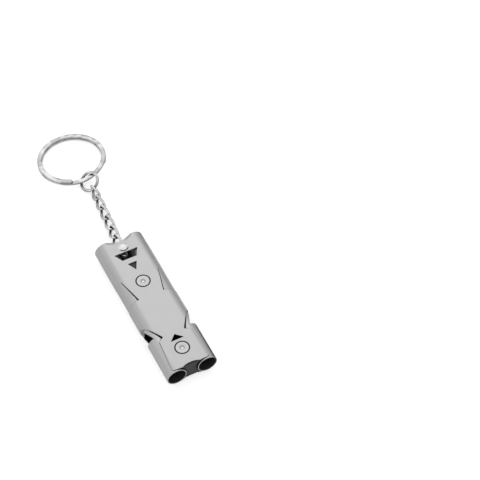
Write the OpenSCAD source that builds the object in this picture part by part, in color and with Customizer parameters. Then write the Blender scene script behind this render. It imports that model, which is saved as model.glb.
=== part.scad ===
// Flat double-tube survival whistle of folded stainless sheet, with a curb chain and a split ring.
// It lies on its back plate. X runs across, Y runs from the mouth end to the ring end, Z is up.

/* [Body] */
// Length from the ring end to the rims of the mouth tubes
body_l = 58; // [54:0.5:66]
// Thickness over the front and back plates
body_t = 7.5; // [7.2:0.1:8.5]
// Distance between the axes of the two chamber tubes
tube_pitch = 10.4; // [10:0.1:12]
// Thickness of the sleeve's sheet
sheet = 0.4; // [0.3:0.05:0.5]
// Wall of the chamber tubes
chamber_wall = 0.35; // [0.3:0.05:0.5]
// Outer radius of the mouth tubes
mouth_r = 3.45; // [3.3:0.05:3.5]
// Wall of the mouth tubes
mouth_wall = 0.45; // [0.35:0.05:0.5]
// Play between pieces that are pressed or riveted together
fit_gap = 0.03; // [0.02:0.01:0.05]

/* [Sound holes] */
// Distance of the labium edges from the tube rims
labium_m = 19.8; // [18:0.1:22]
// Length of the side windows, from labium to mouth tube
window_l = 4.9; // [4:0.1:5.4]
// Depth to which the side window cuts into the tube at its mouth end
window_in = 2.4; // [1.8:0.1:2.6]
// Depth to which the side window cuts into the tube at the labium
window_out = 0.6; // [0.5:0.1:1.2]
// Length of chamber tube that shows between the sleeve and the labium edge
labium_lap = 1.3; // [1:0.1:1.6]
// Distance of the sleeve's edge there from its side
lap_in = 0.45; // [0.35:0.05:0.6]
// How far the labium edge is pressed inwards
labium_press = 0.5; // [0.2:0.05:0.6]
// Length over which the labium edge is pressed
labium_run = 2.4; // [2:0.1:3]
// Length of the chambers, from the labium to the pressed flaps
chamber_l = 11.2; // [9:0.1:13]
// Length of the slits beside the pressed flaps
flap_l = 9.7; // [8:0.1:11]
// Half distance between two slits at their deep ends
flap_x = 4.8; // [4.6:0.05:5.2]
// Slant of the slits against the whistle's axis, in degrees
flap_slant = 12.8; // [10:0.1:14]
// Depth of the flaps at their deep ends
flap_drop = 0.5; // [0.45:0.05:0.8]
// Width of the cut beside each flap, at the deep end
slit_w = 0.34; // [0.25:0.03:0.37]
// Width of that cut at the shallow end
slit_end = 0.15; // [0.1:0.05:0.25]
// Depth of the long dent in each side
dent = 0.35; // [0.2:0.05:0.5]

/* [Tongues over the mouth tubes] */
// Distance from the tube rims to the plates' mouth edges
lip = 0.5; // [0.3:0.05:0.8]
// Distance of the tongues' necks from the tube rims
neck_m = 13.8; // [13:0.1:14.5]
// Width of the tongues at their necks
neck_w = 7.6; // [7:0.1:8]
// Width of the tongues at their roots, next to the necks
root_w = 11.4; // [11:0.1:12]
// Width of the tongues at the mouth
tongue_w = 13.3; // [13:0.1:13.8]
// Corner radius of the tongues
tongue_r = 1.0; // [0.6:0.1:1.4]
// Width of the shallow recess in the mouth edges
recess_w = 6.2; // [5:0.1:7]
// Depth of the shallow recess in the mouth edges
recess = 0.6; // [0.4:0.05:0.8]

/* [Cut-outs and screws] */
// Distance of the chain pin from the ring end
pin_a = 4.3; // [4:0.1:4.6]
// Width of the arch in the ring end of both plates
arch_w = 9.0; // [8:0.1:10]
// Depth of that arch
arch = 1.5; // [1:0.1:1.8]
// Distance of the arrow's wide edge from the ring end
arrow_a = 6.5; // [6.4:0.1:7]
// Width of the arrow's wide edge
arrow_w = 8.5; // [7:0.1:8.6]
// Length of the arrow from its wide edge to its point
arrow_l = 8.6; // [8:0.1:9]
// Start of the bar that crosses the arrow, from its wide edge
bar_a = 3.2; // [2.5:0.1:3.5]
// Width of the bar that crosses the arrow
bar_w = 2.1; // [1.6:0.1:2.5]
// Distance of the rear screws from the ring end
rear_screw_a = 20.5; // [19:0.1:22]
// Distance of the mouth screws from the tube rims
mouth_screw_m = 7.3; // [6:0.1:8]
// Distance of the small triangle's point from the tube rims
mark_m = 13.2; // [12.8:0.1:13.4]
// Length of the small triangle
mark_l = 2.3; // [1.8:0.1:2.5]
// Width of the small triangle
mark_w = 4.7; // [4:0.1:5]
// Radius of the countersunk screw heads
head_r = 2.3; // [2.2:0.05:2.5]
// Radius of the screws' shanks
shank_r = 1.25; // [1:0.05:1.4]
// Length of the screws
screw_l = 3.2; // [2.8:0.1:3.4]
// Width across the flats of the hexagon sockets
socket_af = 1.5; // [1.2:0.1:1.6]
// Depth of the hexagon sockets
socket_d = 1; // [0.8:0.1:1.2]
// Length of the rear core on the mouth side of its screws
core_behind = 4.6; // [4:0.1:6]
// Distance of the mouth core's sides from the tongues' edges
core_inset = 3; // [2.6:0.1:3.2]
// Visible gap round each screw head
head_gap = 0.22; // [0.1:0.01:0.3]

/* [Chain pin] */
// Radius of the pin between the plates
pin_r = 0.6; // [0.5:0.05:0.65]
// Radius of the pin's domed head
pin_head_r = 1.85; // [1.5:0.05:2]
// Height of the pin's domed head
pin_head_h = 0.5; // [0.3:0.05:0.7]

/* [Chain] */
// Number of links
link_count = 7; // [4:1:8]
// Diameter of the links' wire
link_d = 1; // [0.9:0.05:1]
// Length over one link
link_l = 7.05; // [7:0.05:7.3]
// Width over one link
link_w = 3.7; // [3.6:0.05:3.75]
// Play between a link and the wire that it hangs on
link_play = 0.12; // [0.1:0.01:0.2]
// Links that slope from the pin down to the floor
drop_links = 3; // [2:1:4]
// Bearing of the link on the pin from the whistle's axis, in degrees
pin_yaw = 0; // [0:0.5:1]
// Bearing of the other sloping links, in degrees
drop_yaw = 8; // [0:1:8]
// Bearing of the links that lie on the floor, in degrees
floor_yaw = 4; // [0:1:6]
// Roll of the first link, which turns its end towards level round the pin, in degrees
first_roll = 22; // [18:1:26]
// Roll of the last link, which turns its end upright in the jump ring, in degrees
last_roll = 62; // [60:1:64]

/* [Rings] */
// Outer diameter of the jump ring
jump_od = 7.8; // [7.7:0.1:8.4]
// Diameter of the jump ring's wire
jump_d = 1.0; // [0.9:0.05:1.1]
// Slope of the jump ring across the chain, in degrees
jump_roll = 34; // [32:1:36]
// Slope of the jump ring along the chain, in degrees
jump_pitch = 3; // [1:1:4]
// How far the jump ring hangs off to one side of the last link
jump_side = 0.52; // [0.45:0.01:0.6]
// Bearing from the jump ring to the split ring's centre, in degrees
ring_yaw = -6; // [-10:1:0]
// Outer diameter of the split ring
ring_od = 25; // [22:0.5:32]
// Radial width of the split ring's flat wire
ring_w = 1.7; // [1.4:0.1:2]
// Thickness of the split ring's flat wire
ring_t = 0.85; // [0.7:0.05:1]
// Gap between the split ring's two turns
ring_gap = 0.05; // [0.04:0.01:0.1]
// Angle over which the wire climbs from the lower to the upper turn
ring_climb = 75; // [60:5:90]
// Angle from the chain side to the middle of that climb
ring_climb_at = 16; // [0:1:20]

/* [Hidden] */
$fn = 64;
far = 40;                                  // reach of cutting tools past the body
mid_z = body_t / 2;
ring_y = body_l / 2;
mouth_y = -body_l / 2;
half_w = tube_pitch / 2 + body_t / 2;      // half the width over the sleeve
inner_z = body_t - sheet;                  // underside of the front plate
chamber_r = body_t / 2 - sheet - fit_gap;
mouth_x = half_w - mouth_r;                // mouth tubes lie flush with the sleeve's sides
labium_y = mouth_y + labium_m;
flap_y = labium_y + chamber_l;
plate_y = mouth_y + lip;                   // mouth edges of both plates
rear_screw_y = ring_y - rear_screw_a;
mouth_screw_y = mouth_y + mouth_screw_m;
pin_y = ring_y - pin_a;
dent_y = flap_y + flap_l * 0.72;
dent_r = 60;
seat_drop = head_r - shank_r;              // height of a screw head's cone
core_gap = 0.2;                            // dark gap between the cores and the tubes
core_lip = 0.1;                            // the mouth core lies this far behind the plates' edges
core_half = flap_x - sheet - chamber_wall - fit_gap * 2 - 0.2;

function along(a, b, t) = a + (b - a) * t;
function arc(cx, cy, r, from, to, n) =
    [for (i = [0:n]) [cx + r * cos(along(from, to, i / n)), cy + r * sin(along(from, to, i / n))]];

// Both sides, both faces, or all four corners of the body
module sides() { children(); mirror([1, 0, 0]) children(); }
module faces() { children(); translate([0, 0, body_t]) mirror([0, 0, 1]) children(); }

// A round bar along Y
module bar(x, r, y0, y1) {
    translate([x, y1, mid_z]) rotate([90, 0, 0]) cylinder(r = r, h = y1 - y0);
}

// The flat tube's section, made as a solid of outer radius r
module flat_oval(r, y0, y1) {
    union() {
        bar(tube_pitch / 2, r, y0, y1);
        bar(-tube_pitch / 2, r, y0, y1);
        translate([-tube_pitch / 2, y0, mid_z - r]) cube([tube_pitch, y1 - y0, 2 * r]);
    }
}

// A prism on a plan outline, right through the body
module through(points) {
    translate([0, 0, -far]) linear_extrude(2 * far) polygon(points);
}

// Space of one pressed flap, grown by g for the layers under the sheet. The flap is the sleeve's own
// section, sunk at the flap's deep end
module flap_space(g) {
    end_y = flap_y + flap_l;
    difference() {
        translate([flap_x, flap_y, mid_z]) rotate([0, 0, -flap_slant])
            translate([-g, -g, 0]) cube([far, flap_l + g, far]);
        translate([0, end_y, mid_z]) rotate([asin(flap_drop / flap_l), 0, 0]) translate([0, -end_y, -mid_z])
            flat_oval(body_t / 2 - g - 0.01, flap_y - 5, end_y + 5);
    }
}

// Everything that is pressed into the sides of the body, grown by g
module presses(g) {
    sides() {
        faces() flap_space(g);
        translate([half_w + dent_r - dent, dent_y, -far]) cylinder(r = dent_r + g, h = 2 * far, $fn = 180);
        translate([half_w, labium_y + labium_run, -far]) rotate([0, 0, -atan(labium_press / labium_run)])
            translate([-g, -2 * labium_run, 0]) cube([far, 3 * labium_run, 2 * far]);
    }
}

// The cuts beside the flaps, which run out to a point
module slits() {
    sides() faces() translate([flap_x, flap_y, body_t - flap_drop - sheet]) rotate([0, 0, -flap_slant])
        linear_extrude(far) polygon([[-slit_w, -0.1], [0.02, -0.1], [0.02, flap_l], [-slit_end, flap_l]]);
}

// Plan outline of what is cut away beside the tongues
module tongue_cut() {
    x0 = neck_w / 2;
    x1 = half_w - lap_in;
    y0 = mouth_y + neck_m;
    y1 = labium_y + labium_lap;
    bow = 0.15;
    shoulder = [for (i = [0:6]) [along(x1, x0, i / 6), along(y1, y0, i / 6) + bow * sin(i * 30)]];
    corner = arc(tongue_w / 2 - tongue_r, plate_y + tongue_r, tongue_r, 0, -90, 6);
    through(concat([[half_w + 1, y1]], shoulder, [[root_w / 2, y0 - 1.2]], corner,
                   [[tongue_w / 2 - tongue_r, mouth_y - 1], [half_w + 1, mouth_y - 1]]));
}

// A triangle or trapezoid of the arrow: the arrow's outline between two distances from its wide edge
module arrow_part(from, to) {
    w0 = arrow_w / 2 * (1 - from / arrow_l);
    w1 = arrow_w / 2 * (1 - to / arrow_l);
    y0 = ring_y - arrow_a - from;
    y1 = ring_y - arrow_a - to;
    through([[w0, y0], [w1, y1], [-w1, y1], [-w0, y0]]);
}

// Countersink for a screw head at height z, opening upwards
module countersink(r) {
    translate([0, 0, -seat_drop]) cylinder(r1 = r - seat_drop, r2 = r, h = seat_drop);
    translate([0, 0, -0.001]) cylinder(r = r, h = far);
}

module sleeve() {
    color("silver") difference() {
        difference() {
            flat_oval(body_t / 2, plate_y, ring_y);
            presses(0);
        }
        difference() {
            flat_oval(body_t / 2 - sheet, plate_y - 1, ring_y + 1);
            presses(sheet);
        }
        slits();
        sides() tongue_cut();
        arrow_part(0, bar_a);
        through([[(arrow_w / 2) * (1 - (bar_a + bar_w) / arrow_l), ring_y - arrow_a - bar_a - bar_w],
                 [0, ring_y - arrow_a - arrow_l],
                 [-(arrow_w / 2) * (1 - (bar_a + bar_w) / arrow_l), ring_y - arrow_a - bar_a - bar_w]]);
        through([[0, mouth_y + mark_m], [mark_w / 2, mouth_y + mark_m - mark_l],
                 [-mark_w / 2, mouth_y + mark_m - mark_l]]);
        arch_r = (arch_w * arch_w / 4 + arch * arch) / (2 * arch);
        translate([0, ring_y - arch + arch_r, -far]) cylinder(r = arch_r, h = 2 * far);
        recess_r = (recess_w * recess_w / 4 + recess * recess) / (2 * recess);
        translate([0, plate_y + recess - recess_r, -far]) cylinder(r = recess_r, h = 2 * far);
        faces() {
            translate([0, rear_screw_y, body_t]) countersink(head_r + head_gap);
            translate([0, mouth_screw_y, body_t]) countersink(head_r + head_gap);
        }
        translate([0, pin_y, -1]) cylinder(r = pin_r + fit_gap, h = body_t + 2);
    }
}

// A chamber tube lies inside the sleeve and follows its presses
module chamber_tube() {
    color("darkgray") difference() {
        difference() {
            bar(tube_pitch / 2, chamber_r, labium_y, ring_y);
            presses(sheet + fit_gap);
        }
        difference() {
            bar(tube_pitch / 2, chamber_r - chamber_wall, labium_y - 1, ring_y + 1);
            presses(sheet + fit_gap + chamber_wall);
        }
        slits();
    }
}

// A mouth tube runs from its rim back to the labium, where its side is cut open
module mouth_tube() {
    end_y = labium_y - 0.1;
    rim_y = labium_y - window_l;
    color("gainsboro") difference() {
        bar(mouth_x, mouth_r, mouth_y, end_y);
        bar(mouth_x, mouth_r - mouth_wall, mouth_y - 1, end_y + 1);
        through([[half_w - window_in, rim_y], [half_w - window_out, labium_y], [half_w - window_out, labium_y + 2],
                 [half_w + 1, labium_y + 2], [half_w + 1, rim_y]]);
        difference() {
            translate([-1, plate_y - fit_gap, -far]) cube([half_w + 2, far, 2 * far]);
            intersection() {
                translate([fit_gap, -fit_gap, 0]) tongue_cut();
                translate([fit_gap, fit_gap, 0]) tongue_cut();
            }
            flat_oval(body_t / 2 - sheet - fit_gap, mouth_y - 1, ring_y);
        }
    }
}

// A core block between the tubes, from y0 to y1, with screw seats in both faces at screw_y
module core(y0, y1, half, tube_x, tube_r, screw_y) {
    color([0.12, 0.12, 0.13]) difference() {
        translate([-half, y0, sheet + fit_gap])
            cube([2 * half, y1 - y0, body_t - 2 * (sheet + fit_gap)]);
        sides() bar(tube_x, tube_r + core_gap, y0 - 1, y1 + 1);
        faces() translate([0, screw_y, body_t]) {
            countersink(head_r + fit_gap);
            translate([0, 0, -screw_l - 0.2]) cylinder(r = shank_r + fit_gap, h = screw_l);
        }
    }
}

module rear_core() {
    core(rear_screw_y - core_behind, ring_y - arrow_a - bar_a - 0.5, core_half, tube_pitch / 2, chamber_r, rear_screw_y);
}

module mouth_core() {
    core(plate_y + core_lip, mouth_y + mark_m - mark_l - 0.3, tongue_w / 2 - core_inset, mouth_x, mouth_r, mouth_screw_y);
}

// A countersunk screw with its head's face at z = body_t, pointing down
module screw(y) {
    color("silver") translate([0, y, body_t]) difference() {
        union() {
            translate([0, 0, -seat_drop]) cylinder(r1 = shank_r, r2 = head_r, h = seat_drop);
            translate([0, 0, -screw_l]) cylinder(r = shank_r, h = screw_l - seat_drop + 0.1);
        }
        translate([0, 0, -socket_d]) cylinder(r = socket_af / sqrt(3), h = 2 * socket_d, $fn = 6);
    }
}

module front_rear_screw() { screw(rear_screw_y); }
module front_mouth_screw() { screw(mouth_screw_y); }
module back_rear_screw() { translate([0, 0, body_t]) mirror([0, 0, 1]) screw(rear_screw_y); }
module back_mouth_screw() { translate([0, 0, body_t]) mirror([0, 0, 1]) screw(mouth_screw_y); }

module chain_pin() {
    dome_r = (pin_head_r * pin_head_r + pin_head_h * pin_head_h) / (2 * pin_head_h);
    color("silver") translate([0, pin_y, 0]) union() {
        cylinder(r = pin_r, h = body_t + 0.1);
        intersection() {
            translate([0, 0, body_t]) cylinder(r = pin_head_r, h = pin_head_h);
            translate([0, 0, body_t + pin_head_h - dome_r]) sphere(r = dome_r);
        }
    }
}

// Chain: a link is an oval wire loop whose ends are turned a quarter turn against each other
link_a = (link_l - link_d) / 2;
link_b = (link_w - link_d) / 2;
link_h = link_b / 2;
link_pitch = link_l - 2 * link_d - link_play;
link_steps = 28;
wire_sides = 8;
pin_slack = 0.1;                            // extra play of the first link on the pin
pin_reach = pin_r + link_play + pin_slack + link_d / 2;

function link_roll(i) = along(first_roll, last_roll, pow(i / (link_count - 1), 2));
function link_rest(roll) = link_d / 2 + 0.03
    + max([for (t = [0:5:90]) link_h * sin(2 * t) * cos(roll) + link_b * sin(t) * sin(roll)]);
drop_angle = asin((mid_z - link_rest(link_roll(drop_links))) / (link_a - pin_reach + link_pitch * (drop_links - 0.5)));
floor_rise = asin((link_rest(last_roll) - link_rest(link_roll(drop_links)))
    / (link_pitch * max(1, link_count - 1 - drop_links)));

function unit(v) = v / norm(v);
function link_centre_line(t) = [link_b * sin(t), link_a * cos(t), link_h * sin(2 * t)];
function link_tangent(t) = unit([link_b * cos(t), -link_a * sin(t), 2 * link_h * cos(2 * t)]);
function link_out(t) = let (p = link_centre_line(t), u = link_tangent(t)) unit(p - (p * u) * u);
function link_ring(t) = let (p = link_centre_line(t), n = link_out(t), b = cross(link_tangent(t), n))
    [for (k = [0:wire_sides - 1]) p + link_d / 2 * (cos(k * 360 / wire_sides) * n + sin(k * 360 / wire_sides) * b)];

function link_yaw(i) = i == 0 ? pin_yaw : i < drop_links ? drop_yaw : floor_yaw;
function link_dip(i) = i < drop_links ? drop_angle : -floor_rise;
function heading(yaw, dip) = [sin(yaw) * cos(dip), cos(yaw) * cos(dip), -sin(dip)];
function link_dir(i) = heading(link_yaw(i), link_dip(i));
function link_centre(i) = i == 0
    ? [0, pin_y, mid_z] + (link_a - pin_reach) * link_dir(0)
    : link_centre(i - 1) + link_pitch / 2 * (link_dir(i - 1) + link_dir(i));

module link_wire() {
    points = [for (i = [0:link_steps - 1]) each link_ring(i * 360 / link_steps)];
    count = link_steps * wire_sides;
    faces = [for (i = [0:link_steps - 1], k = [0:wire_sides - 1])
        let (a = i * wire_sides + k,
             b = i * wire_sides + (k + 1) % wire_sides,
             c = (a + wire_sides) % count,
             d = (b + wire_sides) % count)
        each [[a, d, b], [a, c, d]]];
    polyhedron(points = points, faces = faces, convexity = 4);
}

module chain_link(i) {
    color("silver") translate(link_centre(i)) rotate([-link_dip(i), 0, -link_yaw(i)])
        rotate([0, -link_roll(i), 0]) link_wire();
}

module chain_link_1() { chain_link(0); }
module chain_link_2() { chain_link(1); }
module chain_link_3() { chain_link(2); }
module chain_link_4() { chain_link(3); }
module chain_link_5() { chain_link(4); }
module chain_link_6() { chain_link(5); }
module chain_link_7() { chain_link(6); }

// Jump ring: it leans through the last link, one side on the floor, and holds the split ring
jump_r = (jump_od - jump_d) / 2;
jump_rise = sin(jump_pitch);
jump_tilt = sqrt(pow(jump_rise, 2) + pow(sin(jump_roll) * cos(jump_pitch), 2));
jump_hold = link_centre(link_count - 1)
    + (link_a - link_d / 2 - link_play - jump_d / 2) * link_dir(link_count - 1);
jump_z = jump_d / 2 + jump_r * jump_tilt + 0.02;
jump_centre = [jump_hold[0] + jump_side, jump_hold[1], jump_z] + jump_r * cos(jump_pitch) * heading(ring_yaw, 0);

module jump_ring() {
    color("silver") translate(jump_centre) rotate([0, 0, -ring_yaw]) rotate([jump_pitch, 0, 0])
        rotate([0, -jump_roll, 0]) rotate_extrude() translate([jump_r, 0]) circle(r = jump_d / 2, $fn = 24);
}

// Split ring: two turns of flat wire with a climb between them, one side raised by the jump ring
ring_r = ring_od / 2;
ring_h = 2 * ring_t + ring_gap;
ring_reach = jump_r - jump_d / 2 - ring_w / 2 - 0.52;
ring_mid = ring_r - ring_w / 2;
hold_z = jump_z + ring_reach * jump_rise + 0.55 * jump_d + 0.5
    - sqrt(jump_r * jump_r - ring_reach * ring_reach) * sin(jump_roll) * cos(jump_pitch);
ring_tilt = asin(hold_z / (ring_mid + ring_r));
ring_centre = [jump_centre[0], jump_centre[1], ring_r * sin(ring_tilt) + ring_h / 2 * cos(ring_tilt)]
    + (ring_reach + ring_mid) * heading(ring_yaw, 0);
climb_from = -90 + ring_climb_at - ring_climb / 2;
climb_steps = 10;

module ring_turn(z) {
    rotate([0, 0, climb_from + ring_climb]) translate([0, 0, z])
        rotate_extrude(angle = 360 - ring_climb, $fn = 128) translate([ring_r - ring_w, 0]) square([ring_w, ring_t]);
}

function climb_section(i) = let (a = climb_from + ring_climb * i / climb_steps,
                                 share = min(max(i / climb_steps, 0), 1),
                                 z = (ring_t + ring_gap) * (1 - cos(180 * share)) / 2)
    [for (q = [[ring_r - ring_w, z], [ring_r, z], [ring_r, z + ring_t], [ring_r - ring_w, z + ring_t]])
        [q[0] * cos(a), q[0] * sin(a), q[1]]];

module ring_climb_wire() {
    lap = 0.1;                              // the climb laps into both turns, in steps
    stations = concat([-lap], [for (i = [0:climb_steps]) i], [climb_steps + lap]);
    points = [for (i = stations) each climb_section(i)];
    last = 4 * (len(stations) - 1);
    faces = concat([[3, 2, 1, 0], [last, last + 1, last + 2, last + 3]],
        [for (i = [0:len(stations) - 2], k = [0:3])
            let (a = 4 * i + k, b = 4 * i + (k + 1) % 4, c = a + 4, d = b + 4) each [[a, d, c], [a, b, d]]]);
    polyhedron(points = points, faces = faces, convexity = 4);
}

module split_ring() {
    color("silver") translate(ring_centre) rotate([0, 0, -ring_yaw]) rotate([-ring_tilt, 0, 0])
        translate([0, 0, -ring_h / 2]) rotate([0, 0, ring_yaw]) union() {
            ring_turn(0);
            ring_turn(ring_t + ring_gap);
            ring_climb_wire();
        }
}

sleeve();
mirror([1, 0, 0]) chamber_tube();  // left_chamber_tube
chamber_tube();  // right_chamber_tube
mirror([1, 0, 0]) mouth_tube();  // left_mouth_tube
mouth_tube();  // right_mouth_tube
rear_core();
mouth_core();
front_rear_screw();
front_mouth_screw();
back_rear_screw();
back_mouth_screw();
chain_pin();
chain_link_1();
chain_link_2();
chain_link_3();
chain_link_4();
chain_link_5();
chain_link_6();
chain_link_7();
jump_ring();
split_ring();
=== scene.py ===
# %% [markdown]
# # A folded steel whistle on its chain
# The whistle is two short tubes side by side, wrapped in one sheet of stainless steel. A twisted
# chain and a split ring hang on its pin. The frame from the CAD step is loaded first, and nothing
# in it moves. The sheet parts keep their CAD meshes and get new finishes. Everything made of wire
# is swept again here, because a wire needs many more sides than a mechanical model wants.

# %% Load the frame
import bmesh
import bpy
import math
from mathutils import Matrix, Vector


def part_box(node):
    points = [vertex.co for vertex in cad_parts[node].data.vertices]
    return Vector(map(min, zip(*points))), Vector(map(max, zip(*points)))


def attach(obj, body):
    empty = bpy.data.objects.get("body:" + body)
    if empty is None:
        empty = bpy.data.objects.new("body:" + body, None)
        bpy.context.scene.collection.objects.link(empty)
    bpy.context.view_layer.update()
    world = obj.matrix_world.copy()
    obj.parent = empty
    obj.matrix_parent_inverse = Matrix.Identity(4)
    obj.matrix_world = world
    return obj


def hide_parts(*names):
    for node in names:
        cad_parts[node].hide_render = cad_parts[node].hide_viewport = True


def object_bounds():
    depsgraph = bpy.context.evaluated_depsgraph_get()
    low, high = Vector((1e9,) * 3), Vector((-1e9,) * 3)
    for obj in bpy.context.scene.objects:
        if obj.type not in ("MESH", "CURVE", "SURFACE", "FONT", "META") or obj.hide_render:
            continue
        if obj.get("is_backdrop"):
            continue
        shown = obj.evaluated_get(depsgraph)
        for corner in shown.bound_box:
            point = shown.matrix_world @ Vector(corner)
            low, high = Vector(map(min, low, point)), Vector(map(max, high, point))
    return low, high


MM = 0.001
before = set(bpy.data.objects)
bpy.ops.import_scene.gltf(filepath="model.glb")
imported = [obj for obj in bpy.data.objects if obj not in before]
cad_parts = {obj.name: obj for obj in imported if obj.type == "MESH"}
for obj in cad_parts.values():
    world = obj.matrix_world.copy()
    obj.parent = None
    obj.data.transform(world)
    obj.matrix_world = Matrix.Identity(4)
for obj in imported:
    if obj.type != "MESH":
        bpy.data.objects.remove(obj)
cad_box = [list(corner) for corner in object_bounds()]


def in_mm(box):
    return [[round(v / MM, 2) for v in corner] for corner in box]


print("CAD box in mm", in_mm(cad_box))

# %% [markdown]
# ## The view
# A product photograph is taken from far away with a long lens, so parallel edges stay almost
# parallel. The place and the lens below were worked out from the outline in the picture, with the
# whistle's plate, the screws and the ring as known sizes. The camera looks straight down its own
# axis, so it needs no shift and no roll.

# %% The camera
camera_data = bpy.data.cameras.new("camera")
camera_data.lens = 109.73
camera_data.sensor_width = 36.0
camera_data.clip_start = 0.01
camera_data.clip_end = 50.0
camera = bpy.data.objects.new("camera", camera_data)
bpy.context.scene.collection.objects.link(camera)
camera.location = Vector((-104.24, -265.09, 405.83)) * MM
look = Vector((0.2804, 0.5441, -0.7908))
camera.rotation_euler = look.to_track_quat("-Z", "Y").to_euler()
bpy.context.scene.camera = camera
print("camera elevation", round(math.degrees(math.asin(-look.normalized().z)), 2), "degrees")

# %% [markdown]
# ## Writing materials as sums
# Shader maths is easier to read as an expression than as a row of boxes. `Signal` wraps one output
# of a node, and adding or multiplying signals adds the Math nodes that do it. `Board` is one tree of
# nodes, and its `node` method makes any other node: settings first, then the sockets. `Finish` is
# the board of one material. Places on the part are read in millimetres, as they are in the CAD.

# %% The Signal class
class Signal:
    def __init__(self, socket):
        self.socket = socket

    def reckon(self, operation, first, second):
        tree = self.socket.id_data
        made = tree.nodes.new("ShaderNodeMath")
        made.operation = operation
        for place, value in enumerate((first, second)):
            if isinstance(value, Signal):
                tree.links.new(value.socket, made.inputs[place])
            else:
                made.inputs[place].default_value = value
        return Signal(made.outputs[0])

    def __add__(self, other):
        return self.reckon("ADD", self, other)

    def __radd__(self, other):
        return self.reckon("ADD", other, self)

    def __sub__(self, other):
        return self.reckon("SUBTRACT", self, other)

    def __rsub__(self, other):
        return self.reckon("SUBTRACT", other, self)

    def __mul__(self, other):
        return self.reckon("MULTIPLY", self, other)

    def __rmul__(self, other):
        return self.reckon("MULTIPLY", other, self)

    def __truediv__(self, other):
        return self.reckon("DIVIDE", self, other)

    def __rtruediv__(self, other):
        return self.reckon("DIVIDE", other, self)

    def __pow__(self, other):
        return self.reckon("POWER", self, other)

    def __rpow__(self, other):
        return self.reckon("POWER", other, self)


print("reflected operators", [name for name in vars(Signal) if name.startswith("__r")])


# %% Greys
def grey(value, cool=0.0):
    return (value, value, value + cool, 1)


print("a middle grey", grey(0.5), "and a cooler one", grey(0.5, 0.005))


# %% The Board class
class Board:
    def __init__(self, tree):
        self.tree = tree

    def join(self, signal, socket):
        self.tree.links.new(signal.socket, socket)

    def node(self, kind, settings=None, sockets=None, output=0):
        made = self.tree.nodes.new(kind)
        for name, value in (settings or {}).items():
            if name == "stops":
                while len(made.color_ramp.elements) < len(value):
                    made.color_ramp.elements.new(0.5)
                for element, (place, shade) in zip(made.color_ramp.elements, value):
                    element.position = place
                    element.color = grey(shade)
            else:
                setattr(made, name, value)
        for name, value in (sockets or {}).items():
            if isinstance(value, Signal):
                self.join(value, made.inputs[name])
            else:
                made.inputs[name].default_value = value
        return Signal(made.outputs[output])

    def ramp(self, signal, stops):
        return self.node("ShaderNodeValToRGB", {"stops": stops}, {"Fac": signal}, "Color")

    def mix(self, factor, first, second):
        return self.node("ShaderNodeMix", {"data_type": "RGBA"}, {0: factor, 6: first, 7: second}, 2)

    def fade(self, signal, none_at, full_at):
        return self.node("ShaderNodeMapRange", {"clamp": True},
                         {"Value": signal, "From Min": none_at, "From Max": full_at,
                          "To Min": 0.0, "To Max": 1.0})


print("a board can", [name for name in vars(Board) if not name.startswith("_")])


# %% The Finish class
class Finish(Board):
    def __init__(self, name, colour, metal, roughness):
        self.material = bpy.data.materials.new(name)
        self.material.use_nodes = True
        self.material.diffuse_color = colour
        super().__init__(self.material.node_tree)
        self.shader = self.tree.nodes["Principled BSDF"]
        self.shader.inputs["Base Color"].default_value = colour
        self.shader.inputs["Metallic"].default_value = metal
        self.shader.inputs["Roughness"].default_value = roughness

    def feed(self, socket, signal):
        self.join(signal, self.shader.inputs[socket])

    def place(self):
        return self.node("ShaderNodeTexCoord", output="Object")

    def axes(self):
        sockets = {0: self.place(), "Scale": 1 / MM}
        point = self.node("ShaderNodeVectorMath", {"operation": "SCALE"}, sockets)
        return [self.node("ShaderNodeSeparateXYZ", {}, {"Vector": point}, axis) for axis in "XYZ"]

    def noise(self, scale, stretch=(1, 1, 1), detail=2.0):
        where = self.node("ShaderNodeMapping", {}, {"Vector": self.place(), "Scale": stretch})
        sockets = {"Vector": where, "Scale": scale, "Detail": detail}
        return self.node("ShaderNodeTexNoise", {}, sockets, "Fac")

    def relief(self, height, strength, depth, extra=None):
        sockets = {"Height": height, "Strength": strength, "Distance": depth * MM}
        return self.node("ShaderNodeBump", {}, {**sockets, **(extra or {})})


print("a finish can also", [name for name in vars(Finish) if not name.startswith("_")])

# %% [markdown]
# ## Tumbled edges
# Sheet parts are tumbled after they are cut, so their edges are rounded and polished. Real bevels on
# every edge would need thousands of faces, and the CAD mesh has to stay as it is. The Bevel node
# only rounds the light instead. Where its rounded normal turns away from the true one there is an
# edge, and that mask makes the edge smoother and lightens its colour, a painted highlight.

# %% The worn edges and their painted highlight
EDGE_R = 0.12


def worn_and_lit_edges(finish):
    rounded = finish.node("ShaderNodeBevel", {"samples": 6}, {"Radius": EDGE_R * MM})
    true = finish.node("ShaderNodeNewGeometry", output="True Normal")
    turn = finish.node("ShaderNodeVectorMath", {"operation": "DOT_PRODUCT"}, {0: rounded, 1: true}, "Value")
    return rounded, finish.fade(turn, 0.995, 0.8)


print("edges look rounded by", EDGE_R, "mm")

# %% [markdown]
# ## Painted shade in crevices
# Slits, corners and the places where wires cross get a painted shade, because little light gets in
# there. Painting them by hand would mean one mask for each. Ambient Occlusion measures how
# much of its surroundings a point can see within a small reach, so one node finds them all.

# %% The painted crevice shade
SHEET_REACH, CORE_REACH, WIRE_REACH = 0.8, 1.5, 1.8


def painted_crevice_shade(finish, reach, dark_at=0.5, clear_at=0.92):
    open_sky = finish.node("ShaderNodeAmbientOcclusion", {"samples": 8}, {"Distance": reach * MM}, "AO")
    return finish.fade(open_sky, clear_at, dark_at)


print("crevices are sought within", SHEET_REACH, "to", WIRE_REACH, "mm")
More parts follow.
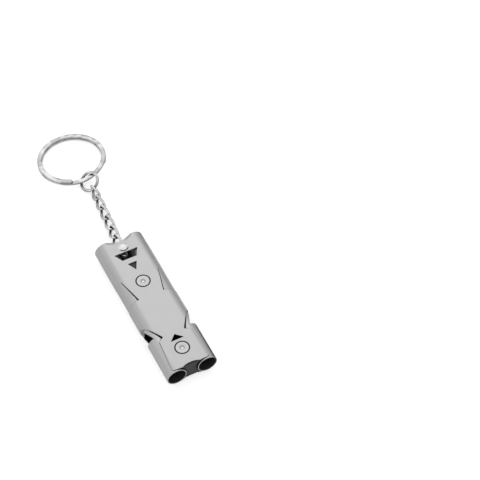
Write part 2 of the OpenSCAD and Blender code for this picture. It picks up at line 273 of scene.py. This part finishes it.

# %% [markdown]
# ## The dark inside
# The inner faces of the sleeve and the tubes are never brushed, so they stay dull, and they are given
# a painted shade, as little light reaches them. One mesh holds both faces, and a second material
# would need its faces picked by number. The mask asks which way the surface looks instead: a normal
# that points at the tube's own axis belongs to an inner face. The flat part of the sleeve has no axis,
# so there the distance across counts as zero. The bore of a mouth tube is also found by its radius,
# which reaches into its rim.

# %% Inner faces
TUBE_AXIS, MOUTH_AXIS, MID_Z = 5.2, 5.5, 3.75
MOUTH_BORE = 3.2


def radius(first, second):
    return (first ** 2 + second ** 2) ** 0.5


def hollow(finish, axis_x, flat, bore):
    across, _, up = finish.axes()
    side = finish.node("ShaderNodeMath", {"operation": "SIGN"}, {0: across})
    out = side * across - axis_x
    rise = up - MID_Z
    reach = radius(out, rise)
    if flat:
        out = finish.node("ShaderNodeMath", {"operation": "MAXIMUM"}, {0: out, 1: 0})
    outwards = finish.node("ShaderNodeCombineXYZ", {}, {"X": side * out, "Z": rise})
    normal = finish.node("ShaderNodeNewGeometry", output="Normal")
    facing = finish.node("ShaderNodeVectorMath", {"operation": "DOT_PRODUCT"},
                         {0: normal, 1: outwards}, "Value")
    inner_side = finish.node("ShaderNodeMath", {"operation": "LESS_THAN"}, {0: facing, 1: -0.5})
    bored = finish.fade(reach, bore, bore - 0.02)
    return finish.node("ShaderNodeMath", {"operation": "MAXIMUM"}, {0: inner_side, 1: bored})


print("tube axes at x", TUBE_AXIS, "and", MOUTH_AXIS, "mm, bore found below", MOUTH_BORE, "mm")

# %% [markdown]
# ## Painted shade in the gaps
# A screw head sits in a wider countersink, and the sleeve's shoulder stands off the mouth tube below
# it. From a distance both gaps read as thin dark lines. They are too shallow here for shadows alone
# to make them so dark. Their places are known from the CAD, so two masks paint the shade in by place.

# %% Round the screws
HALF_L = 29
HEAD_R, HEAD_GAP = 2.3, 0.22
REAR_Y, MOUTH_Y = HALF_L - 20.5, 7.3 - HALF_L


# Painted shade: a dark ring round each screw head's countersink.
def screw_gap_shade(finish):
    across, along, _ = finish.axes()
    hole_r = HEAD_R + HEAD_GAP
    gap_shade = 0
    for y in (REAR_Y, MOUTH_Y):
        gap_shade = gap_shade + finish.fade(radius(across, along - y), hole_r + 0.14, hole_r + 0.04)
    return gap_shade


print("screws at y", REAR_Y, "and", round(MOUTH_Y, 2), "mm, holes of", 2 * (HEAD_R + HEAD_GAP), "mm")

# %% Under the shoulders
NECK, ELBOW = (3.8, -15.2), (8.5, -7.9)
SHADE_W, SHADE_END = 0.75, 7.5


# Painted shade: a dark wedge under each shoulder of the sleeve.
def shoulder_shade(finish):
    across, along, _ = finish.axes()
    across = finish.node("ShaderNodeMath", {"operation": "ABSOLUTE"}, {0: across})
    run, rise = ELBOW[0] - NECK[0], ELBOW[1] - NECK[1]
    length = math.hypot(run, rise)
    below = (across - NECK[0]) * (rise / length) - (along - NECK[1]) * (run / length)
    wide = finish.fade(across, SHADE_END, NECK[0]) * SHADE_W
    near = finish.node("ShaderNodeMath", {"operation": "LESS_THAN"}, {0: below - wide, 1: 0})
    ends = finish.fade(along, NECK[1] - 0.3, NECK[1]) * finish.fade(across, SHADE_END, SHADE_END - 1)
    return near * ends


print("shoulder's straight line", round(math.dist(NECK, ELBOW), 2), "mm long")

# %% [markdown]
# ## Edges pulled down, and slits sprung shut
# The punch that cuts the arches into the ring end pulls the sheet's edge down a little, so the band
# along it turns from the light, and a painted shade draws it grey. The rear slits on the right side
# have sprung nearly shut, so they get less painted crevice shade and look paler than those on the
# left. Both are differences of shade and not of shape at this size, so they are masks too.

# %% Along the arches
ARCH_R, ARCH_DEPTH, PULLED_W = 7.5, 1.5, 0.7
ARCH_Y = HALF_L - ARCH_DEPTH + ARCH_R


# Painted shade: a grey band along the arch edges.
def pulled_edge_shade(finish):
    across, along, _ = finish.axes()
    reach = radius(across, along - ARCH_Y)
    across = finish.node("ShaderNodeMath", {"operation": "ABSOLUTE"}, {0: across})
    ends = finish.fade(across, 1.2, 2.2) * finish.fade(across, 5.2, 4.4)
    return finish.fade(reach, ARCH_R + PULLED_W + 0.3, ARCH_R + PULLED_W) * ends


# Lessens the painted crevice shade in the nearly shut slits.
def tight_slit(finish):
    across, along, _ = finish.axes()
    return finish.fade(across, 4, 5) * finish.fade(along, 2, 4)


print("arch's middle at y", ARCH_Y, "mm, beyond the ring end at", HALF_L)

# %% [markdown]
# ## Satin sheet steel
# Folded sheet is brushed along its length before it is cut, so the finest lines run along Y. Over
# them lies a slow unevenness from rolling, and smudges from handling. A photograph of steel could be
# wrapped round the part, but it would show seams and blur close up. Noise that is stretched along
# one axis gives the same lines at any distance, and the masks above are laid over it.

# %% Shades of the sheet
# The darkest painted shade, for deep gaps, crevices, inner faces and screw rims.
PAINTED_SHADE_DARK = grey(0.03, 0.001)


def tint(colour, factor):
    return tuple(min(1.0, part * factor) for part in colour[:3]) + (1,)


print("the dark of a deep gap", PAINTED_SHADE_DARK)


# %% The sheet's finish
def sheet_steel(name, colour, roughness, axis_x, flat=False, gap_shade=None, bore=0.0):
    finish = Finish(name, colour, 1.0, roughness)
    rounded, edge_wear_and_highlight = worn_and_lit_edges(finish)
    lines = finish.noise(1.0, (5200, 160, 5200), 3.0)
    cloud = finish.noise(90, (1, 0.6, 1))
    smudge = finish.noise(420, (1, 0.5, 1), 3.0)
    shade = finish.mix(cloud * 0.5 + lines * 0.35, tint(colour, 0.9), colour)
    # Painted highlight: the colour is lighter along the edge mask.
    shade = finish.mix(edge_wear_and_highlight * 0.85, shade, tint(colour, 1.3))
    # Painted shade in slits and corners, from the crevice mask.
    crevice_shade = painted_crevice_shade(finish, SHEET_REACH)
    if flat:
        # Painted shade along the arches, and less crevice shade in the tight slits.
        shade = finish.mix(pulled_edge_shade(finish), shade, tint(colour, 0.66))
        crevice_shade = crevice_shade * (1 - tight_slit(finish) * 0.75)
    shade = finish.mix(crevice_shade, shade, PAINTED_SHADE_DARK)
    # Painted shade in the countersinks or under the shoulders.
    if gap_shade:
        shade = finish.mix(gap_shade(finish), shade, PAINTED_SHADE_DARK)
    dull_and_shaded_inside = hollow(finish, axis_x, flat, bore)
    # Painted shade on the inner faces, which are also made duller and less metallic below.
    finish.feed("Base Color", finish.mix(dull_and_shaded_inside, shade, PAINTED_SHADE_DARK))
    gloss = (lines - 0.5) * 0.14 + (smudge - 0.5) * 0.1 + (cloud - 0.5) * 0.08 + roughness
    finish.feed("Roughness", gloss - edge_wear_and_highlight * 0.1 + dull_and_shaded_inside * 0.3)
    finish.feed("Metallic", 1 - dull_and_shaded_inside * 0.75)
    finish.feed("Normal", finish.relief(lines * 0.6 + smudge * 0.4, 0.1, 0.02, {"Normal": rounded}))
    return finish.material


# %% Dress the sheet parts
def dress(node, material):
    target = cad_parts[node]
    if not target.material_slots:
        target.data.materials.append(material)
    for slot in target.material_slots:
        slot.material = material


sleeve_finish = sheet_steel("satin_sleeve", grey(0.62, 0.005), 0.34, TUBE_AXIS, True, screw_gap_shade)
mouth_finish = sheet_steel("satin_mouth_tubes", grey(0.64, 0.005), 0.3, MOUTH_AXIS, False, shoulder_shade,
                           MOUTH_BORE)
# The chamber tubes sit inside the sleeve; their darker grey is painted shade.
shaded_chamber_finish = sheet_steel("shaded_chamber_steel", grey(0.42, 0.005), 0.36, TUBE_AXIS)
dress("sleeve", sleeve_finish)
for side in ("left", "right"):
    dress(side + "_mouth_tube", mouth_finish)
    dress(side + "_chamber_tube", shaded_chamber_finish)
print("sheet finishes", [m.name for m in (sleeve_finish, mouth_finish, shaded_chamber_finish)])

# %% [markdown]
# ## The dark cores
# Between the tubes sits a dark moulded filling. Its mouth face is matt with a fine grain, a little
# paler where it was rubbed. A plain black would look like a hole, so two slow greys are mixed, with a
# high roughness and no metal at all. The corners beside the tubes get painted shade from the crevice mask.

# %% The cores' finish
core = Finish("moulded_core", grey(0.055, 0.002), 0.0, 0.6)
grain = core.noise(3800, detail=3.0)
blotch = core.noise(350)
shade = core.mix(blotch * 0.7, grey(0.04, 0.002), grey(0.09, 0.002))
# Painted shade in the corners beside the tubes.
core.feed("Base Color", core.mix(painted_crevice_shade(core, CORE_REACH), shade, grey(0.004)))
core.feed("Roughness", 0.5 + grain * 0.2)
core.feed("Normal", core.relief(grain, 0.3, 0.03))
for node in ("rear_core", "mouth_core"):
    dress(node, core.material)
print("cores", core.material.name)

# %% [markdown]
# ## Mesh helpers
# Wire parts are all sweeps: a small outline is carried along a path. A curve with a bevel could do
# that, but then the outline can't turn, swell or thin out on the way, and its twist is hard to hold.
# `sweep` takes one ring of points for every station and joins each ring to the next with faces.

# %% Sweeps
def mesh_object(name, points, faces):
    mesh = bpy.data.meshes.new(name)
    mesh.from_pydata([tuple(p) for p in points], [], faces)
    mesh.update()
    made = bpy.data.objects.new(name, mesh)
    bpy.context.scene.collection.objects.link(made)
    return made


def outward(piece):
    work = bmesh.new()
    work.from_mesh(piece.data)
    bmesh.ops.recalc_face_normals(work, faces=work.faces)
    work.to_mesh(piece.data)
    work.free()
    return piece


def sweep(name, rings, closed):
    count, around = len(rings), len(rings[0])
    points = [p for ring in rings for p in ring]
    faces = []
    for i in range(count if closed else count - 1):
        for k in range(around):
            a, b = i * around + k, i * around + (k + 1) % around
            c, d = (a + around) % (count * around), (b + around) % (count * around)
            faces.append((a, b, d, c))
    if not closed:
        faces.append(tuple(reversed(range(around))))
        faces.append(tuple((count - 1) * around + k for k in range(around)))
    made = mesh_object(name, points, faces)
    made.data.polygons.foreach_set("use_smooth", [True] * len(faces))
    return outward(made)


def turns(count):
    return [2 * math.pi * n / count for n in range(count)]


print("four angles of a turn", [round(math.degrees(a)) for a in turns(4)])

# %% [markdown]
# ## Bright wire
# Chain and rings are tumbled until they shine. Forming leaves soft flats along the wire, so the
# reflections break up into patches. Dents could be modelled one by one, but they are smaller than a
# picture's dot. A slow bump breaks the reflections instead, a finer one adds the small dents, and the
# same slow noise varies the gloss and darkens some patches in the colour, a painted break-up of the
# reflections. The crevice mask paints shade where wires cross and between the split ring's turns.

# %% The wires' finish
def wire_steel(name, bright, roughness, waves, depth, shade_reach, painted_patch_dim, full_shade_at):
    finish = Finish(name, grey(bright), 1.0, roughness)
    slow = finish.noise(waves, detail=1.0)
    fine = finish.noise(waves * 7)
    # Painted reflection patches: some patches of the colour are darker.
    reflection_patch = finish.ramp(slow + (fine - 0.5) * 0.15, [(0.4, 0.0), (0.5, 0.45), (0.6, 1.0)])
    shade = finish.mix(reflection_patch, grey(bright * painted_patch_dim), grey(bright))
    # Painted shade where wires cross or lie close together.
    finish.feed("Base Color", finish.mix(painted_crevice_shade(finish, shade_reach, full_shade_at, 0.95), shade, grey(0.05)))
    finish.feed("Roughness", (fine - 0.5) * 0.14 + (slow - 0.5) * 0.1 + roughness)
    finish.feed("Normal", finish.relief(slow + fine * 0.08, 0.5, depth))
    return finish.material


chain_finish = wire_steel("tumbled_chain", 0.97, 0.1, 420, 0.12, WIRE_REACH, 0.72, 0.5)
jump_finish = wire_steel("tumbled_jump_ring", 0.95, 0.1, 300, 0.15, WIRE_REACH, 0.5, 0.4)
ring_finish = wire_steel("tumbled_split_ring", 0.83, 0.16, 260, 1.4, 0.5, 0.66, 0.55)
print("wire finishes", [m.name for m in (chain_finish, jump_finish, ring_finish)])

# %% [markdown]
# ## The twisted links
# A curb link starts as a flat oval of wire, and its two ends are then turned a quarter turn against
# each other, so that links lie flat on one another. Twisting a modelled oval with a modifier would
# also squeeze the round wire. So the middle of the wire follows a formula,
# x = b sin t, y = a cos t, z = h sin 2t, and a round outline is carried along it. The direction away
# from the link's middle is its first axis, so the wire never twists on itself. The CAD wire has
# eight flat sides, so the round wire here is drawn a little thinner, about as thick as that one is
# between its corners. So it keeps the play that the links need to swing past each other.

# %% One link's wire
LINK_D, LINK_L, LINK_W = 1.0, 7.05, 3.7
LINK_SEAM, LINK_SEAM_W = 0.07, 0.035
WIRE_SHARE = 0.94
link_a, link_b = (LINK_L - LINK_D) / 2, (LINK_W - LINK_D) / 2
link_h = link_b / 2
wire_r = WIRE_SHARE * LINK_D / 2


def link_rings(stations=96, around=20):
    rings = []
    for t in turns(stations):
        middle = Vector((link_b * math.sin(t), link_a * math.cos(t), link_h * math.sin(2 * t)))
        along = Vector((link_b * math.cos(t), -link_a * math.sin(t), 2 * link_h * math.cos(2 * t)))
        along.normalize()
        out = (middle - middle.dot(along) * along).normalized()
        side = along.cross(out)
        thin = wire_r * (1 - LINK_SEAM * math.exp(-((t - math.pi / 2) / LINK_SEAM_W) ** 2))
        rings.append([middle + thin * (math.cos(k) * out + math.sin(k) * side) for k in turns(around)])
    return rings


print("wire of a link", round(2 * wire_r, 2), "mm thick, link", LINK_L, "by", LINK_W, "mm")

# %% [markdown]
# ## Where each link lies
# The first links slope down from the pin to the floor. The others rise very gently, because each
# one is rolled a little more than the last, until the seventh stands upright in the jump ring. A
# simulation could let the chain fall, but it would never fall twice in the same way, and the joints of
# the frame wait at known places. So these are the same sums as in the CAD source, and each swept link
# lies on its CAD solid.

# %% How the chain slopes
COUNT, DROP = 7, 3
LINK_PLAY, LINK_LIFT = 0.12, 0.03
PIN_R, PIN_SLACK = 0.6, 0.1
PIN_Y = HALF_L - 4.3
PIN_YAW, DROP_YAW, FLOOR_YAW = 0, 8, 4
FIRST_ROLL, LAST_ROLL = 22, 62
link_pitch = LINK_L - 2 * LINK_D - LINK_PLAY
pin_reach = PIN_R + LINK_PLAY + PIN_SLACK + LINK_D / 2


def link_roll(i):
    return FIRST_ROLL + (LAST_ROLL - FIRST_ROLL) * (i / (COUNT - 1)) ** 2


def link_rest(roll):
    r = math.radians(roll)
    depths = []
    for t in (math.radians(5 * n) for n in range(19)):
        depths.append(link_h * math.sin(2 * t) * math.cos(r) + link_b * math.sin(t) * math.sin(r))
    return LINK_D / 2 + LINK_LIFT + max(depths)


floor_height = link_rest(link_roll(DROP))
drop_angle = math.asin((MID_Z - floor_height) / (link_a - pin_reach + link_pitch * (DROP - 0.5)))
floor_rise = math.asin((link_rest(LAST_ROLL) - floor_height) / (link_pitch * (COUNT - 1 - DROP)))
print("chain falls at", round(math.degrees(drop_angle), 2), "degrees")
print("then rises at", round(math.degrees(floor_rise), 2), "degrees")

# %% The middles of the links
def heading(yaw, dip):
    yaw = math.radians(yaw)
    return Vector((math.sin(yaw) * math.cos(dip), math.cos(yaw) * math.cos(dip), -math.sin(dip)))


def link_yaw(i):
    if i == 0:
        return PIN_YAW
    return DROP_YAW if i < DROP else FLOOR_YAW


def link_dip(i):
    return drop_angle if i < DROP else -floor_rise


centres = [Vector((0, PIN_Y, MID_Z)) + (link_a - pin_reach) * heading(link_yaw(0), link_dip(0))]
for i in range(1, COUNT):
    step = heading(link_yaw(i - 1), link_dip(i - 1)) + heading(link_yaw(i), link_dip(i))
    centres.append(centres[-1] + link_pitch / 2 * step)
print("last link's middle in mm", [round(v, 2) for v in centres[-1]])

# %% Place the links
for i in range(COUNT):
    turn = (Matrix.Rotation(math.radians(-link_yaw(i)), 4, "Z") @ Matrix.Rotation(-link_dip(i), 4, "X")
            @ Matrix.Rotation(math.radians(-link_roll(i)), 4, "Y"))
    rings = [[(centres[i] + turn @ p) * MM for p in ring] for ring in link_rings()]
    name = "chain_link_" + str(i + 1)
    link = sweep("curb_link_" + str(i + 1), rings, True)
    link.data.materials.append(chain_finish)
    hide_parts(name)
    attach(link, "link_" + str(i + 1))
    low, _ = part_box(name)
    off = max(abs(min(p[k] for ring in rings for p in ring) - low[k]) for k in range(3))
    print(name, "lies within", round(off / MM, 3), "mm of its solid")

# %% [markdown]
# ## The jump ring
# A jump ring is one turn of round wire, closed by bringing its cut ends together. A torus would give
# the shape, but not the joint, which shows as a fine line. The sweep can thin its wire for a hair's
# breadth at one place, on the floor side, so it makes both.

# %% Where the jump ring leans
JUMP_OD, JUMP_D, JUMP_LIFT = 7.8, 1.0, 0.02
JUMP_ROLL, JUMP_PITCH, JUMP_SIDE, RING_YAW = 34, 3, 0.52, -6
JUMP_SEAM, JUMP_SEAM_W, JUMP_SEAM_AT = 0.08, 0.03, 3.9
jump_r = (JUMP_OD - JUMP_D) / 2
roll, pitch = math.radians(JUMP_ROLL), math.radians(JUMP_PITCH)
jump_tilt = math.sqrt(math.sin(pitch) ** 2 + (math.sin(roll) * math.cos(pitch)) ** 2)
last_heading = heading(link_yaw(COUNT - 1), link_dip(COUNT - 1))
jump_hold = centres[-1] + (link_a - LINK_D / 2 - LINK_PLAY - JUMP_D / 2) * last_heading
jump_z = JUMP_D / 2 + jump_r * jump_tilt + JUMP_LIFT
jump_foot = Vector((jump_hold.x + JUMP_SIDE, jump_hold.y, jump_z))
jump_centre = jump_foot + jump_r * math.cos(pitch) * heading(RING_YAW, 0)
jump_turn = (Matrix.Rotation(math.radians(-RING_YAW), 4, "Z") @ Matrix.Rotation(pitch, 4, "X")
             @ Matrix.Rotation(-roll, 4, "Y"))
print("jump ring centre in mm", [round(v, 2) for v in jump_centre])

# %% Sweep the jump ring
upright = Vector((0, 0, 1))
rings = []
for t in turns(128):
    out = Vector((math.cos(t), math.sin(t), 0))
    thin = JUMP_D / 2 * (1 - JUMP_SEAM * math.exp(-((t - JUMP_SEAM_AT) / JUMP_SEAM_W) ** 2))
    round_wire = [jump_r * out + thin * (math.cos(k) * out + math.sin(k) * upright) for k in turns(24)]
    rings.append([(jump_centre + jump_turn @ p) * MM for p in round_wire])
jump = sweep("bent_jump_ring", rings, True)
jump.data.materials.append(jump_finish)
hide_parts("jump_ring")
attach(jump, "jump_ring")
print("jump ring faces", len(jump.data.polygons))

# %% [markdown]
# ## The split ring
# A split ring is nearly two turns of one flat wire that lie face to face. Between the two free ends
# the wire climbs from the lower turn to the upper one, so there it is only one wire thick. Two flat
# rings would be quicker, but they would have no ends and no climb. One sweep along the whole path
# makes it, with a flat outline whose corners are well rounded.

# %% Where the split ring lies
RING_OD, RING_W, RING_T, RING_GAP = 25.0, 1.7, 0.85, 0.05
CLIMB, CLIMB_AT = 75, 16
RING_PLAY, RING_LIFT = 0.52, 0.55 * JUMP_D + 0.5
ring_r = RING_OD / 2
ring_h = 2 * RING_T + RING_GAP
ring_mid = ring_r - RING_W / 2
ring_reach = jump_r - JUMP_D / 2 - RING_W / 2 - RING_PLAY
hold_z = (jump_z + ring_reach * math.sin(pitch) + RING_LIFT
          - math.sqrt(jump_r ** 2 - ring_reach ** 2) * math.sin(roll) * math.cos(pitch))
ring_tilt = math.asin(hold_z / (ring_mid + ring_r))
ring_z = ring_r * math.sin(ring_tilt) + ring_h / 2 * math.cos(ring_tilt)
ring_foot = Vector((jump_centre.x, jump_centre.y, ring_z))
ring_centre = ring_foot + (ring_reach + ring_mid) * heading(RING_YAW, 0)
ring_turn = (Matrix.Rotation(math.radians(-RING_YAW), 4, "Z") @ Matrix.Rotation(-ring_tilt, 4, "X")
             @ Matrix.Translation((0, 0, -ring_h / 2)) @ Matrix.Rotation(math.radians(RING_YAW), 4, "Z"))
print("split ring tilt", round(math.degrees(ring_tilt), 2), "degrees")


# %% The flat wire's outline
def flat_outline(width, thick, corner, steps=6):
    outline = []
    for quarter, (sx, sz) in enumerate(((1, 1), (-1, 1), (-1, -1), (1, -1))):
        for n in range(steps):
            angle = math.radians(90 * quarter + 90 * n / (steps - 1))
            outline.append((sx * (width / 2 - corner) + corner * math.cos(angle),
                            sz * (thick / 2 - corner) + corner * math.sin(angle)))
    return outline


outline = flat_outline(RING_W - 0.02, RING_T - 0.01, 0.3)
print("points round the flat wire", len(outline))

# %% Sweep the split ring
STATIONS = 480
END_SIZES = (0.72, 0.9, 0.97)
climb_from = -90 + CLIMB_AT - CLIMB / 2
first_end, last_end = climb_from + CLIMB - 360, climb_from + 360
rings = []
for i in range(STATIONS + 1):
    angle = first_end + (last_end - first_end) * i / STATIONS
    share = min(max((angle - climb_from) / CLIMB, 0), 1)
    lift = (RING_T + RING_GAP) * (1 - math.cos(math.pi * share)) / 2 + RING_T / 2
    from_end = min(i, STATIONS - i)
    size = END_SIZES[from_end] if from_end < len(END_SIZES) else 1.0
    out = Vector((math.cos(math.radians(angle)), math.sin(math.radians(angle)), 0))
    flat_wire = [(ring_mid + size * u) * out + (lift + size * v) * upright for u, v in outline]
    rings.append([(ring_centre + ring_turn @ p) * MM for p in flat_wire])
ring = sweep("coiled_split_ring", rings, False)
ring.data.materials.append(ring_finish)
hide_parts("split_ring")
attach(ring, "split_ring")
print("split ring turns", round((last_end - first_end) / 360, 2), "faces", len(ring.data.polygons))

# %% [markdown]
# ## Countersunk screws
# A screw head is turned on a lathe, so it is a profile spun round an axis, with a hexagon socket
# pressed into it. Cutting the socket with a boolean would leave ragged faces at the rim. Here every
# row of the profile has its own radius at each angle, so the rows inside the socket follow a hexagon
# and the others a circle. The rim is rounded, and the countersink round it shows as a dark circle in
# the plate, painted shade like the dark band along the head's edge. The bottom of the socket is a
# shallow drilled cone, and its near-white colour is a painted highlight.

# %% The screws' finish
CONE_R, RIM_SHADE = 0.56, 0.1


def turned_steel(name, y):
    finish = Finish(name, grey(0.6, 0.005), 1.0, 0.3)
    across, along, _ = finish.axes()
    reach = radius(across, along - y)
    lathe = finish.node("ShaderNodeTexNoise", {"noise_dimensions": "1D"},
                        {"W": reach, "Scale": 9, "Detail": 2.0}, "Fac")
    shade = finish.mix(finish.noise(500), grey(0.58, 0.005), grey(0.68, 0.005))
    # Painted shade along the edge of the head.
    shade = finish.mix(finish.fade(reach, HEAD_R - 2 * RIM_SHADE, HEAD_R - RIM_SHADE), shade, PAINTED_SHADE_DARK)
    # Painted highlight: the cone at the socket's bottom is nearly white.
    cone_highlight = finish.fade(reach, CONE_R + 0.06, CONE_R)
    finish.feed("Base Color", finish.mix(cone_highlight, shade, grey(0.98)))
    finish.feed("Roughness", 0.26 + lathe * 0.14)
    finish.feed("Normal", finish.relief(lathe, 0.3, 0.02))
    return finish.material


# %% A screw's profile
SHANK_R, SCREW_L, SOCKET_AF, BODY_T = 1.25, 3.2, 1.5, 7.5
AROUND, RIM, LEAD = 72, 0.16, 0.12


def screw_rows():
    neck = SHANK_R - HEAD_R
    hexagon = [SOCKET_AF / 2 / max(math.cos((a % (math.pi / 3)) - math.pi / 6), 0.5) for a in turns(AROUND)]

    def circle(r, z):
        return [(r, z)] * AROUND

    socket = [circle(0.0, -0.22), [(h * 0.66, -0.24) for h in hexagon], [(h * 0.84, -0.6) for h in hexagon],
              [(h, -0.94) for h in hexagon], [(h, -0.1) for h in hexagon],
              [(h + 0.05, -0.03) for h in hexagon], [(h + 0.12, 0.0) for h in hexagon]]
    face = [circle(1.4, 0.0), circle(HEAD_R - RIM - LEAD, 0.0)]
    rim = [circle(HEAD_R - RIM + RIM * math.sin(a) * 0.97, -RIM + RIM * math.cos(a))
           for a in (math.radians(18 * s) for s in range(6))]
    shank = [circle(SHANK_R + 0.02, neck), circle(SHANK_R, neck - 0.05), circle(SHANK_R, -SCREW_L + 0.15),
             circle(SHANK_R - LEAD, -SCREW_L), circle(0.0, -SCREW_L)]
    return socket + face + rim + shank


print("rows in a screw", len(screw_rows()), "socket", SOCKET_AF, "mm across its flats")


# %% Turn the screws
def screw_piece(name, y, front):
    rings = []
    for row in screw_rows():
        rings.append([Vector((r * math.cos(a), y + r * math.sin(a), BODY_T + z if front else -z)) * MM
                      for a, (r, z) in zip(turns(AROUND), row)])
    piece = sweep(name, rings, False)
    piece.data.materials.append(turned_steel(name + "_steel", y))
    return piece


for node, y, front in (("front_rear_screw", REAR_Y, True), ("front_mouth_screw", MOUTH_Y, True),
                       ("back_rear_screw", REAR_Y, False), ("back_mouth_screw", MOUTH_Y, False)):
    screw = screw_piece("turned_" + node, y, front)
    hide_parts(node)
    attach(screw, "whistle")
    print(node, "faces", len(screw.data.polygons))

# %% [markdown]
# ## The pin
# The chain's pin is a rivet. Its domed head is polished by handling, so it shows as a soft bright
# spot on the satin plate. The dome in the CAD mesh is fine enough to keep. Under its mouth side the
# plate's own dark reflection makes a crescent, and a mask in the finish draws that one.

# %% The pin's finish
def domed_pin(name):
    finish = Finish(name, grey(0.95), 1.0, 0.4)
    _, along, up = finish.axes()
    crescent = finish.fade(up, 7.75, 7.6) * finish.fade(along, PIN_Y - 0.4, PIN_Y - 1.1)
    cloud = finish.noise(900)
    finish.feed("Base Color", finish.mix(crescent, finish.mix(cloud, grey(0.9), grey(0.99)), grey(0.08)))
    finish.feed("Roughness", 0.36 + cloud * 0.1)
    return finish.material


dress("chain_pin", domed_pin("polished_pin"))
print("pin box in mm", in_mm(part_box("chain_pin")))

# %% [markdown]
# ## The floor
# Bare steel shows its surroundings more than itself, so the studio is most of the picture. The
# floor is white to the camera and still takes a soft shadow. In reflections it is mostly white too,
# but a photographer puts dark cards beside bright metal, so that its sides don't melt into the
# background. Real cards would stand in the view and shade the floor. So the paper turns dark in two
# places for glossy rays only: beside the mouth tubes and round the chain.

# %% The floor's paper
FLOOR_HALF, FLOOR_Z = 3.0, -0.02
corners = [(-FLOOR_HALF, -FLOOR_HALF, 0), (FLOOR_HALF, -FLOOR_HALF, 0),
           (FLOOR_HALF, FLOOR_HALF, 0), (-FLOOR_HALF, FLOOR_HALF, 0)]
floor = mesh_object("floor", corners, [(0, 1, 2, 3)])
floor.location.z = FLOOR_Z * MM
paper = Finish("white_paper", grey(0.8), 0.0, 0.9)
paper.shader.inputs["Emission Strength"].default_value = 1.0
ray = paper.node("ShaderNodeLightPath", output="Is Camera Ray")
mirror = paper.node("ShaderNodeLightPath", output="Is Glossy Ray")
floor_x, floor_y, _ = paper.axes()
beside = paper.ramp(floor_x / 160, [(0.055, 0.0), (0.065, 1.0), (0.3, 1.0), (0.5, 0.0)])
along_mouth = paper.ramp(floor_y / 80 + 0.5, [(0.05, 0.0), (0.1, 1.0), (0.4, 1.0), (0.5, 0.0)])
round_chain = paper.fade(floor_y, 33, 38) * paper.fade(floor_y, 68, 61)
round_chain = round_chain * paper.fade(floor_x - floor_y * 0.1, -11, -7)
card = (beside * along_mouth * 0.85 + round_chain * 0.45 + 0.1) * mirror
paper.feed("Base Color", paper.mix(card, grey(0.8), grey(0.02)))
paper.feed("Emission Color", ray * 0.55 + (mirror - card) * 0.1)
floor.data.materials.append(paper.material)
floor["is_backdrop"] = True
print("floor", 2 * FLOOR_HALF, "m wide, at z", FLOOR_Z, "mm")

# %% [markdown]
# ## The room
# The world is a white room that gets darker towards the horizon, which gives the round sides their
# grey edges. It is darker on the right than on the left, so the two sides of the whistle differ. An
# image of a studio could do this too, but two short ramps over the direction are easier to tune. The
# camera itself sees plain white.

# %% The world
world = bpy.data.worlds.new("studio")
bpy.context.scene.world = world
world.use_nodes = True
sky = Board(world.node_tree)
background = world.node_tree.nodes["Background"]
direction = sky.node("ShaderNodeTexCoord", output="Generated")
height = sky.node("ShaderNodeSeparateXYZ", {}, {"Vector": direction}, "Z")
across = sky.node("ShaderNodeSeparateXYZ", {}, {"Vector": direction}, "X")
right_half = sky.ramp(height, [(0.0, 0.18), (0.1, 0.3), (0.26, 0.62), (0.5, 0.72), (0.85, 0.8)])
left_half = sky.ramp(height, [(0.0, 0.6), (0.1, 0.61), (0.26, 0.64), (0.5, 0.7), (0.85, 0.8)])
room = sky.mix(sky.ramp(across * 0.5 + 0.5, [(0.35, 0.0), (0.65, 1.0)]), left_half, right_half)
seen = sky.node("ShaderNodeLightPath", output="Is Camera Ray")
sky.join(sky.mix(seen, room, grey(1)), background.inputs["Color"])
background.inputs["Strength"].default_value = 1.0
bpy.context.scene.view_settings.view_transform = "Standard"
print("world", world.name, "with", len(world.node_tree.nodes), "nodes")

# %% [markdown]
# ## The lamps
# The room already lights the part evenly. Two weak softboxes are added for a soft shadow and a little
# shape, one behind and one at the left. Point lamps would make hard white dots in every curve of
# the chain, so both are wide areas.

# %% The softboxes
def softbox(name, place, target, width, height, power):
    lamp_data = bpy.data.lights.new(name, "AREA")
    lamp_data.shape = "RECTANGLE"
    lamp_data.size = width
    lamp_data.size_y = height
    lamp_data.energy = power
    lamp = bpy.data.objects.new(name, lamp_data)
    lamp.location = Vector(place)
    lamp.rotation_euler = (Vector(target) - Vector(place)).to_track_quat("-Z", "Y").to_euler()
    bpy.context.scene.collection.objects.link(lamp)
    return lamp


key = softbox("key_softbox", (0.25, 0.75, 0.85), (0, 0.03, 0), 0.7, 0.7, 0.5)
side = softbox("side_softbox", (-0.9, -0.1, 0.5), (0, 0.03, 0), 0.5, 0.8, 0.4)
print("softboxes", [(lamp.name, lamp.data.energy) for lamp in (key, side)])

# %% [markdown]
# ## Sizes
# The drawn pieces have to fill the same space as the solids they stand for. So both boxes are gathered
# here, and the visual one is printed.

# %% Gather the sizes
size = {"cad": cad_box, "visual": [list(corner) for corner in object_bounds()]}
print("visual box in mm", in_mm(size["visual"]))
